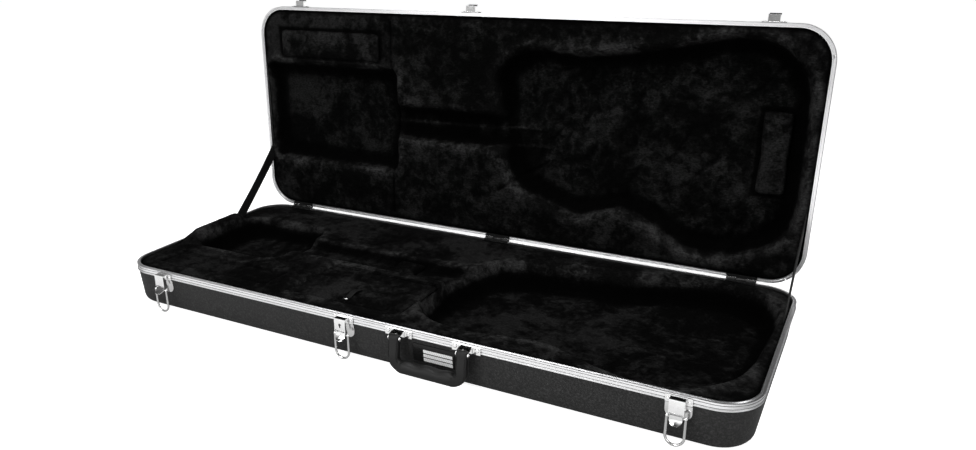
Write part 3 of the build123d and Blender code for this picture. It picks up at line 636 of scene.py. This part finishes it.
def cushion_mesh(low, high, corner, shoulder, pitch, crown=0.0, saddle=None):
    """Vertices and faces of a soft closed pad: flat below, rounded over its edges, and crowned or saddled."""
    middle = (low + high) / 2
    half = ((high.x - low.x) / 2, (high.y - low.y) / 2)
    counts = [max(4, round(2 * h / pitch)) + 1 for h in half]
    square = np.meshgrid(np.linspace(-half[0], half[0], counts[0]), np.linspace(-half[1], half[1], counts[1]))
    x, y = rounded_plan(*square, half, corner)
    edge = np.minimum(half[0] - np.abs(square[0]), half[1] - np.abs(square[1]))
    rise = np.sqrt(1 - (1 - np.clip(edge / shoulder, 0, 1)) ** 2)
    bulge = crown * (1 - (x / half[0]) ** 2) * (1 - (y / half[1]) ** 2)
    thick = high.z - low.z
    top = low.z + thick * (0.35 + 0.65 * rise) + bulge
    if saddle:
        top -= saddle(y) * rise
    rows, columns = x.shape
    index = np.arange(rows * columns).reshape(rows, columns)
    upper = np.stack([x.ravel() + middle.x, y.ravel() + middle.y, top.ravel()], axis=1)
    tuck = 0.985  # the underside's size beside the top's
    flat = np.full(x.size, low.z)
    under = np.stack([x.ravel() * tuck + middle.x, y.ravel() * tuck + middle.y, flat], axis=1)
    quads = np.stack([index[:-1, :-1], index[:-1, 1:], index[1:, 1:], index[1:, :-1]], axis=-1).reshape(-1, 4)
    count = rows * columns
    faces = [list(q) for q in quads] + [[i + count for i in q[::-1]] for q in quads]
    loop = list(index[0, :-1]) + list(index[:-1, -1]) + list(index[-1, :0:-1]) + list(index[:0:-1, 0])
    for i in range(len(loop)):
        a, b = loop[i], loop[(i + 1) % len(loop)]
        faces.append([b, a, a + count, b + count])
    return np.vstack([upper, under]), faces


SWELL_FRAMES = 20


def swell(piece, cap, pressure=4.0):
    """Fill a pad by cloth simulation, and keep every point within a cap of where it began."""
    remesh = piece.modifiers.new("even", "REMESH")
    remesh.mode = "VOXEL"
    remesh.voxel_size = 4 * MM
    apply_modifiers(piece)
    start = np.array([v.co for v in piece.data.vertices])
    cloth = piece.modifiers.new("cloth", "CLOTH")
    cloth.settings.use_pressure = True
    cloth.settings.uniform_pressure_force = pressure
    cloth.settings.effector_weights.gravity = 0
    cloth.settings.tension_stiffness = 30
    cloth.settings.bending_stiffness = 0.6
    cloth.point_cache.frame_start, cloth.point_cache.frame_end = 1, SWELL_FRAMES
    for moment in range(1, SWELL_FRAMES + 1):
        bpy.context.scene.frame_set(moment)
    apply_modifiers(piece)
    moved = np.array([v.co for v in piece.data.vertices]) - start
    length = np.linalg.norm(moved, axis=1, keepdims=True)
    moved *= np.minimum(1, cap / np.maximum(length, 1e-9))
    piece.data.vertices.foreach_set("co", (start + moved).ravel())
    bpy.context.scene.frame_set(1)
    subdivision = piece.modifiers.new("fine", "SUBSURF")
    subdivision.levels = subdivision.render_levels = 1
    apply_modifiers(piece)
    piece.data.shade_smooth()


def apply_modifiers(piece):
    """Replace a piece's mesh with its modified mesh."""
    evaluated = piece.evaluated_get(bpy.context.evaluated_depsgraph_get())
    made = bpy.data.meshes.new_from_object(evaluated)
    piece.modifiers.clear()
    piece.data = made


def ruffle(piece, amount, seed):
    """Lay the uneven pile on a pad."""
    for vertex in piece.data.vertices:
        lump = noise.fractal(Vector(vertex.co) * 45 + Vector((0, 0, seed)), 0.7, 2.1, 3)
        vertex.co += vertex.normal * (amount * lump)


def make_pad(name, node_name, body, corner, shoulder, cap, crown, pile, saddle=None, closed=False, underside_shade=1.0):
    """A swelled, ruffled plush pad over a CAD node.

    closed draws a lid pad with the lid shut, and the last argument says how much painted shade darkens its
    underside; its top gets a little painted light.
    """
    low, high = closed_box(node_name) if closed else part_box(node_name)
    if closed:
        low.z, high.z = -high.z, 2 * MM - low.z
    vertices, faces = cushion_mesh(low, high, corner, shoulder, 4 * MM, crown, saddle)
    piece = add_piece(name, vertices, faces, "plush", None, (node_name,))
    if cap:
        swell(piece, cap)
    ruffle(piece, pile, len(name))
    above = np.array([v.co.z for v in piece.data.vertices]) - low.z
    # painted shade under the pad, a little painted light on its top
    mark_painted_shade(piece, underside_shade - (underside_shade + 0.25) * step(0, high.z - low.z, above))
    if closed:
        piece.data.transform(OPEN_LID @ Matrix.Scale(-1, 4, Vector((0, 0, 1))))
        piece.data.flip_normals()
    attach(piece, body)
    return piece


def make_pads():
    """The padded pieces that lie on the linings."""
    low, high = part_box("neck_cradle")
    span = (high.y - low.y) / 2

    def saddle(y):
        return 5.5 * MM * np.clip(1 - (y / (span * 0.85)) ** 2, 0, 1)

    make_pad("neck_rest", "neck_cradle", "base", 8 * MM, 9 * MM, 3 * MM, 3 * MM, 0.8 * MM, saddle)
    board = ("compartment_cushion", "compartment_lid", "compartment")
    make_pad(*board, 7 * MM, 4 * MM, 0, 0.6 * MM, 0.4 * MM, underside_shade=0.1)
    lid_pads = {"lid_pad_front": (10, 1, 0.8, 0.4), "lid_pad_end": (8, 2, 2, 0.6)}  # in mm
    for name, sizes in lid_pads.items():
        corner, cap, crown, pile = (size * MM for size in sizes)
        make_pad(f"{name}_plush", name, "lid", corner, 7 * MM, cap, crown, pile, closed=True)


# ---- straps, tab and fabric hinge ------------------------------------------------------------------
def ribbon(centres, across, face, width, thick, columns=8):
    """Vertices and faces of a closed flat band: a thicker woven edge each side, rounded corners."""
    vertices, faces = [], []
    outline = []
    for side in (1, -1):
        for k in range(columns + 1):
            t = (2 * k / columns - 1) * side
            swell_edge = 1 + 0.18 * math.exp(-(((abs(t) - 0.9) / 0.07) ** 2))
            taper = math.sqrt(max(0.0, 1 - max(0.0, (abs(t) - 0.94) / 0.06) ** 2))
            outline.append((t * width / 2, side * thick / 2 * swell_edge * max(taper, 0.15)))
    for centre, a, n in zip(centres, across, face):
        vertices += [centre + a * u + n * v for u, v in outline]
    count = len(outline)
    for i in range(len(centres) - 1):
        for k in range(count):
            m = (k + 1) % count
            faces.append([i * count + k, i * count + m, (i + 1) * count + m, (i + 1) * count + k])
    last = (len(centres) - 1) * count
    faces.append(list(range(count))[::-1])
    faces.append([last + k for k in range(count)])
    return vertices, faces


def make_straps():
    """The two webbing straps that hold the lid, each a band from the base to the lid."""
    for side, way in (("left", -1), ("right", 1)):
        low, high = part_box(f"strap_{side}")
        x = (low.x + high.x) / 2
        width = 25 * MM
        inset = Vector((0, 9.3 * MM, 9.3 * MM))
        start = Vector((x, low.y, low.z)) + inset
        end = Vector((x, high.y, high.z)) - inset
        run = (end - start).normalized()
        flat = Vector((0, -run.z, run.y))
        rows = 61
        centres, across, face = [], [], []
        for i in range(rows):
            t = i / (rows - 1)
            bow = math.sin(math.pi * t) * 0.6 * MM
            twist = math.radians(1.2 - 3.8 * way) * math.sin(math.pi * t)
            sag = 1.5 * MM * math.sin(math.pi * t)
            centres.append(start.lerp(end, t) - Vector((way * bow, 0, sag)))
            turned = Matrix.Rotation(twist, 3, run)
            across.append(turned @ flat)
            face.append(turned @ Vector((1, 0, 0)))
        vertices, faces = ribbon(centres, across, face, width, 1.6 * MM)
        piece = add_piece(f"webbing_strap_{side}", vertices, faces, "webbing", None, (f"strap_{side}",))
        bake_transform(piece)


def make_pull_tab():
    """A loop of ribbon under the stud, for lifting the compartment's lid."""
    low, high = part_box("pull_tab")
    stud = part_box("tab_rivet")
    x = (low.x + high.x) / 2
    stud_y = (stud[0].y + stud[1].y) / 2
    rows = 33
    length = high.y - stud_y
    past_stud = 9 * MM / (length + 4 * MM)
    centres, across, face = [], [], []
    for i in range(rows):
        t = i / (rows - 1)
        loose = max(0.0, (t - past_stud) / (1 - past_stud))
        lift = 3.5 * MM * math.sin(math.pi * loose) ** 1.5
        height = low.z + (1.0 + 0.8 * loose) * MM + lift
        centres.append(Vector((x + 1.5 * MM * t * t, stud_y - 5 * MM + t * (length + 4 * MM), height)))
    for i in range(rows):
        ahead = (centres[min(i + 1, rows - 1)] - centres[max(i - 1, 0)]).normalized()
        side = Vector((1, 0, 0))
        across.append(side)
        face.append(side.cross(ahead).normalized())
    vertices, faces = ribbon(centres, across, face, high.x - low.x - 2 * MM, 1.1 * MM)
    piece = add_piece("ribbon_pull_tab", vertices, faces, "webbing", "compartment", ("pull_tab",))
    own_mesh(piece)


def make_fabric_hinge():
    """The strip of plush along the back of the compartment's lid, drawn as a low pad."""
    low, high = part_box("compartment_hinge")
    grow = Vector((0, 0.5 * MM, 0))
    raised = high + grow + Vector((0, 0, 1.2 * MM))
    vertices, faces = cushion_mesh(low - grow, raised, 2 * MM, 4 * MM, 1.2 * MM)
    piece = add_piece("compartment_fabric_hinge", vertices, faces, "plush", None, ("compartment_hinge",))
    ruffle(piece, 0.3 * MM, 5)
    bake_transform(piece)


# ---- handle ----------------------------------------------------------------------------------------
ARM_HALF = 8.7 * MM
GRIP_R = 10 * MM
HANDLE_CORNER = 15 * MM  # of the handle's middle line
PIVOT_R = 6 * MM


def handle_line():
    """The handle's middle line from one pivot round to the other, as (point, heading, share of grip)."""
    low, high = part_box("handle")
    pivot = Vector(JOINTS["handle_swing"]["pos_m"])
    left, right = low.x + ARM_HALF, high.x - ARM_HALF
    grip_z = low.z + GRIP_R
    grip_y = low.y + GRIP_R
    top = pivot.z + PIVOT_R - 0.2 * MM
    stations = []
    over_pivot = top - PIVOT_R * (1 - np.cos(np.linspace(0, math.pi / 2, 7)))
    down_arm = np.linspace(pivot.z - 2 * MM, grip_z + HANDLE_CORNER, 14)
    for z in np.concatenate([over_pivot, down_arm]):
        stations.append((Vector((left, 0, z)), Vector((0, 0, -1))))
    for angle in np.linspace(0, math.pi / 2, 13)[1:]:
        centre = Vector((left + HANDLE_CORNER, 0, grip_z + HANDLE_CORNER))
        offset = Vector((-math.cos(angle), 0, -math.sin(angle))) * HANDLE_CORNER
        stations.append((centre + offset, Vector((math.sin(angle), 0, -math.cos(angle)))))
    middle = (left + right) / 2
    for x in np.linspace(left + HANDLE_CORNER, middle, 18)[1:]:
        stations.append((Vector((x, 0, grip_z)), Vector((1, 0, 0))))
    mirrored = []
    for point, heading in stations[-2::-1]:
        mirrored.append((Vector((2 * middle - point.x, 0, point.z)), Vector((heading.x, 0, -heading.z))))
    made = []
    for point, heading in stations + mirrored:
        inward = (middle - left) - abs(point.x - middle)
        gripness = float(step(HANDLE_CORNER * 0.35, HANDLE_CORNER * 1.3, inward))
        drop = float(step(0.0, pivot.z - grip_z - HANDLE_CORNER, pivot.z - point.z))
        y = pivot.y + (grip_y - pivot.y) * drop
        made.append((Vector((point.x, y, point.z)), heading, gripness))
    return made, middle, pivot


def make_handle():
    """The moulded handle: flat arms on the pivots and a round grip with a finger-shaped inner side."""
    line, middle, pivot = handle_line()
    ring = 28
    outward = Vector((0, -1, 0))
    vertices, faces = [], []
    for point, heading, gripness in line:
        side = heading.cross(outward)
        wide = ARM_HALF + (GRIP_R - ARM_HALF) * gripness
        thick = PIVOT_R + (GRIP_R - PIVOT_R) * gripness
        over = max(0.0, point.z - pivot.z) / PIVOT_R
        thick *= math.sqrt(max(0.02, 1 - min(over, 1.0) ** 2)) if over > 0 else 1
        power = 4.5 - 2.3 * gripness
        for k in range(ring):
            a = 2 * math.pi * k / ring
            c, s = math.cos(a), math.sin(a)
            u = math.copysign(abs(c) ** (2 / power), c) * wide
            v = math.copysign(abs(s) ** (2 / power), s) * thick
            spot = point + side * u + outward * v
            inner = max(0.0, (spot.z - point.z) / GRIP_R) * gripness
            wave = math.cos((point.x - middle) / (17 * MM) * math.pi)
            spot.z += inner * (0.9 * MM + 1.1 * MM * wave)
            vertices.append(spot)
    for i in range(len(line) - 1):
        for k in range(ring):
            m = (k + 1) % ring
            faces.append([i * ring + k, (i + 1) * ring + k, (i + 1) * ring + m, i * ring + m])
    last = (len(line) - 1) * ring
    faces.append(list(range(ring)))
    faces.append([last + k for k in range(ring)][::-1])
    add_piece("moulded_handle", vertices, faces, "handle", "handle", ("handle",))

    stitches = []
    for point, heading, gripness in line:
        if gripness < 0.02 and point.z < pivot.z - 3 * MM:
            for edge in (-1, 1):
                spot = point + heading.cross(outward) * (edge * (ARM_HALF - 1.9 * MM))
                stitches.append((spot + Vector((0, -PIVOT_R + 0.12 * MM, 0)), heading))
    add_stitches("handle_stitching", stitches, 1.5 * MM, 0.42 * MM, "handle")


def add_stitches(name, places, length, radius, body):
    """Short thread stitches, each a small capsule along its heading."""
    made = bmesh.new()
    for spot, heading in places:
        turn = heading.to_track_quat("Z", "Y").to_matrix().to_4x4()
        stretch = Matrix.Diagonal((1, 1, length / radius / 2 + 0.5, 1))
        matrix = Matrix.Translation(spot) @ turn @ stretch
        bmesh.ops.create_icosphere(made, subdivisions=2, radius=radius, matrix=matrix)
    mesh = bpy.data.meshes.new(name)
    made.to_mesh(mesh)
    made.free()
    mesh.shade_smooth()
    piece = bpy.data.objects.new(name, mesh)
    bpy.context.scene.collection.objects.link(piece)
    piece.data.materials.append(MATERIALS["webbing"])
    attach(piece, body)


# ---- CAD nodes that stay ---------------------------------------------------------------------------
EDGE = 0.22 * MM  # rounding on the edges of metal and moulded parts
BEVELLED = ("chrome", "hinge", "plate", "steel", "lock", "bars")


def finish_cad_nodes():
    """Give every CAD node that still shows its material, and take the sharpness off small metal parts."""
    slots = {row["node"]: row["material_slot"] for row in frame["record"]["subparts"]}
    for name, item in NODES.items():
        if item.hide_render:
            continue
        item.data.materials.clear()
        item.data.materials.append(MATERIALS[slots[name]])
        weld = item.modifiers.new("weld", "WELD")
        weld.merge_threshold = 0.002 * MM
        if slots[name] in BEVELLED:
            bevel = item.modifiers.new("edges", "BEVEL")
            bevel.width = EDGE
            bevel.segments = 2
            bevel.limit_method = "ANGLE"
            bevel.angle_limit = math.radians(35)
            bevel.harden_normals = True


# ---- everything, in order --------------------------------------------------------------------------
make_camera()
make_studio()
lid_lining(base_lining())
make_pads()
make_straps()
make_pull_tab()
make_fabric_hinge()
make_handle()
finish_cad_nodes()
